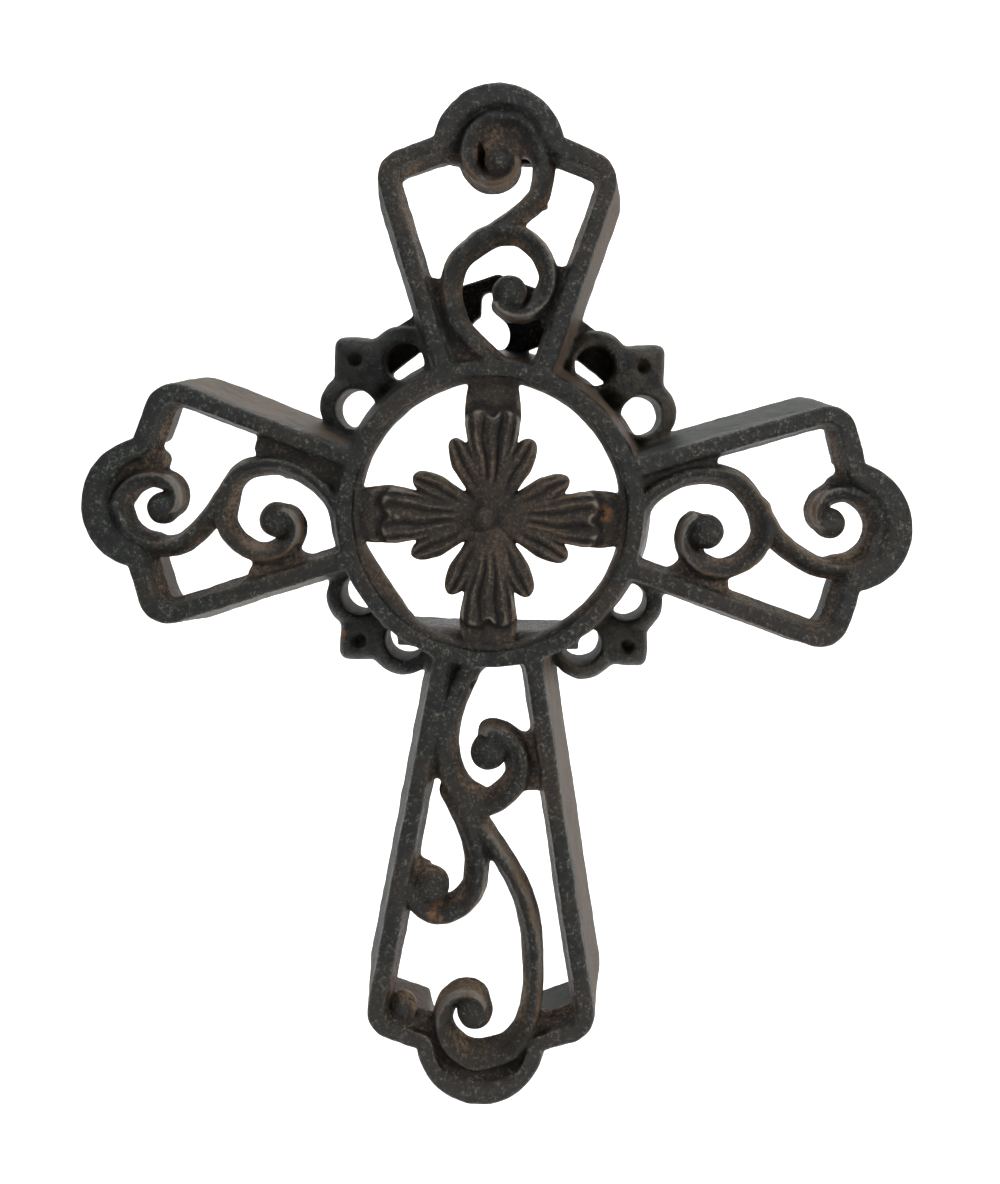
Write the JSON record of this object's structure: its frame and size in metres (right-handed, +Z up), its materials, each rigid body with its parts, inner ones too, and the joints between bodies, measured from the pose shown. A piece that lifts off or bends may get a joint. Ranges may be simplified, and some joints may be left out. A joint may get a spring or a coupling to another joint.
{
  "type": "wall cross",
  "caption": "Openwork cross of four flared, scroll-filled arms round a ring with a flower, hollow-backed, with a keyhole plate for hanging.",
  "frame": {"origin": "on the back of the hanger plate, just above the keyhole, where the nail or screw takes the weight", "axes": "+X to the right seen from the front, +Y towards the wall, +Z up along the long arm"},
  "size_m": [0.2021, 0.024, 0.2464],
  "materials": {
    "cast_iron": "worn black with rust in the hollows"
  },
  "bodies": {
    "root": {"wall_cross": "cast_iron"}
  },
  "joints": []
}
